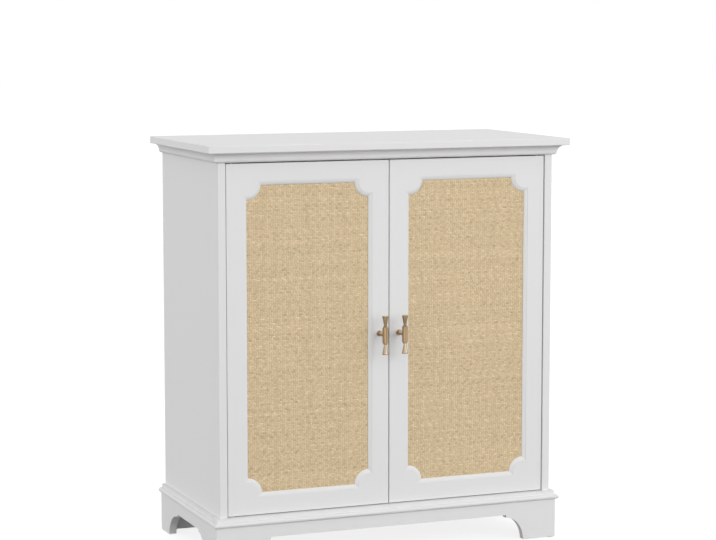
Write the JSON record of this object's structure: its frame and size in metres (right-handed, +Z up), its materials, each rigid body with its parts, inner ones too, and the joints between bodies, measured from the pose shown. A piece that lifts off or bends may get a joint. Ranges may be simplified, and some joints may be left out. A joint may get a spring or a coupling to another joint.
{
  "type": "rattan sideboard",
  "caption": "White sideboard with woven rattan panels in hinged doors, T-bar pulls, a crown moulding and a bracket-foot plinth, with adjustable shelves inside.",
  "frame": {"origin": "on the floor, under the centre of the box round the whole piece, handles included", "axes": "+X to the right as seen from the front, +Y from the doors towards the back, +Z up"},
  "size_m": [0.8, 0.4122, 0.8615],
  "materials": {
    "white_paint": "satin white paint on fibreboard",
    "liner_board": "thin white-faced hardboard",
    "woven_rattan": "natural woven rattan peel, matt",
    "brushed_brass": "brushed gold plating",
    "bright_steel": "zinc-plated steel",
    "cast_zinc": "bare die-cast zinc",
    "white_nylon": "matt white nylon",
    "beech": "bare beech"
  },
  "bodies": {
    "cabinet": {"top_panel": "white_paint", "crown_front": "white_paint", "crown_left": "white_paint", "crown_right": "white_paint", "side_panel_left": "white_paint", "side_panel_right": "white_paint", "bottom_panel": "white_paint", "front_top_rail": "white_paint", "back_top_rail": "white_paint", "back_panel_left": "liner_board", "back_panel_right": "liner_board", "back_joining_strip": "white_nylon", "lower_shelf": "white_paint", "upper_shelf": "white_paint", "shelf_pins": "cast_zinc", "base_moulding_front": "white_paint", "base_moulding_left": "white_paint", "base_moulding_right": "white_paint", "front_apron": "white_paint", "left_apron": "white_paint", "right_apron": "white_paint", "back_apron": "white_paint", "corner_blocks": "white_paint", "floor_glides": "white_nylon", "pivot_pins": "bright_steel", "magnetic_catches": "white_nylon", "cam_discs": "cast_zinc", "cam_bolts": "bright_steel", "wooden_dowels": "beech", "top_screws": "bright_steel", "plinth_screws": "bright_steel"},
    "left_door": {"left_door_frame": "white_paint", "left_woven_panel": "woven_rattan", "left_backing_board": "liner_board", "left_panel_beads": "white_paint", "left_pivot_bushes": "white_nylon", "left_strike_plate": "bright_steel", "left_handle_bar": "brushed_brass", "left_handle_post": "brushed_brass", "left_handle_screw": "bright_steel"},
    "right_door": {"right_door_frame": "white_paint", "right_woven_panel": "woven_rattan", "right_backing_board": "liner_board", "right_panel_beads": "white_paint", "right_pivot_bushes": "white_nylon", "right_strike_plate": "bright_steel", "right_handle_bar": "brushed_brass", "right_handle_post": "brushed_brass", "right_handle_screw": "bright_steel"}
  },
  "joints": [
    {"name": "left_door_hinge", "type": "hinge", "parent": "cabinet", "child": "left_door", "pos_m": [-0.3415, -0.15985, 0.4641], "axis": [0, 0, -1], "range_deg": [0, 115]},
    {"name": "right_door_hinge", "type": "hinge", "parent": "cabinet", "child": "right_door", "pos_m": [0.3415, -0.15985, 0.4641], "axis": [0, 0, 1], "range_deg": [0, 115]}
  ]
}
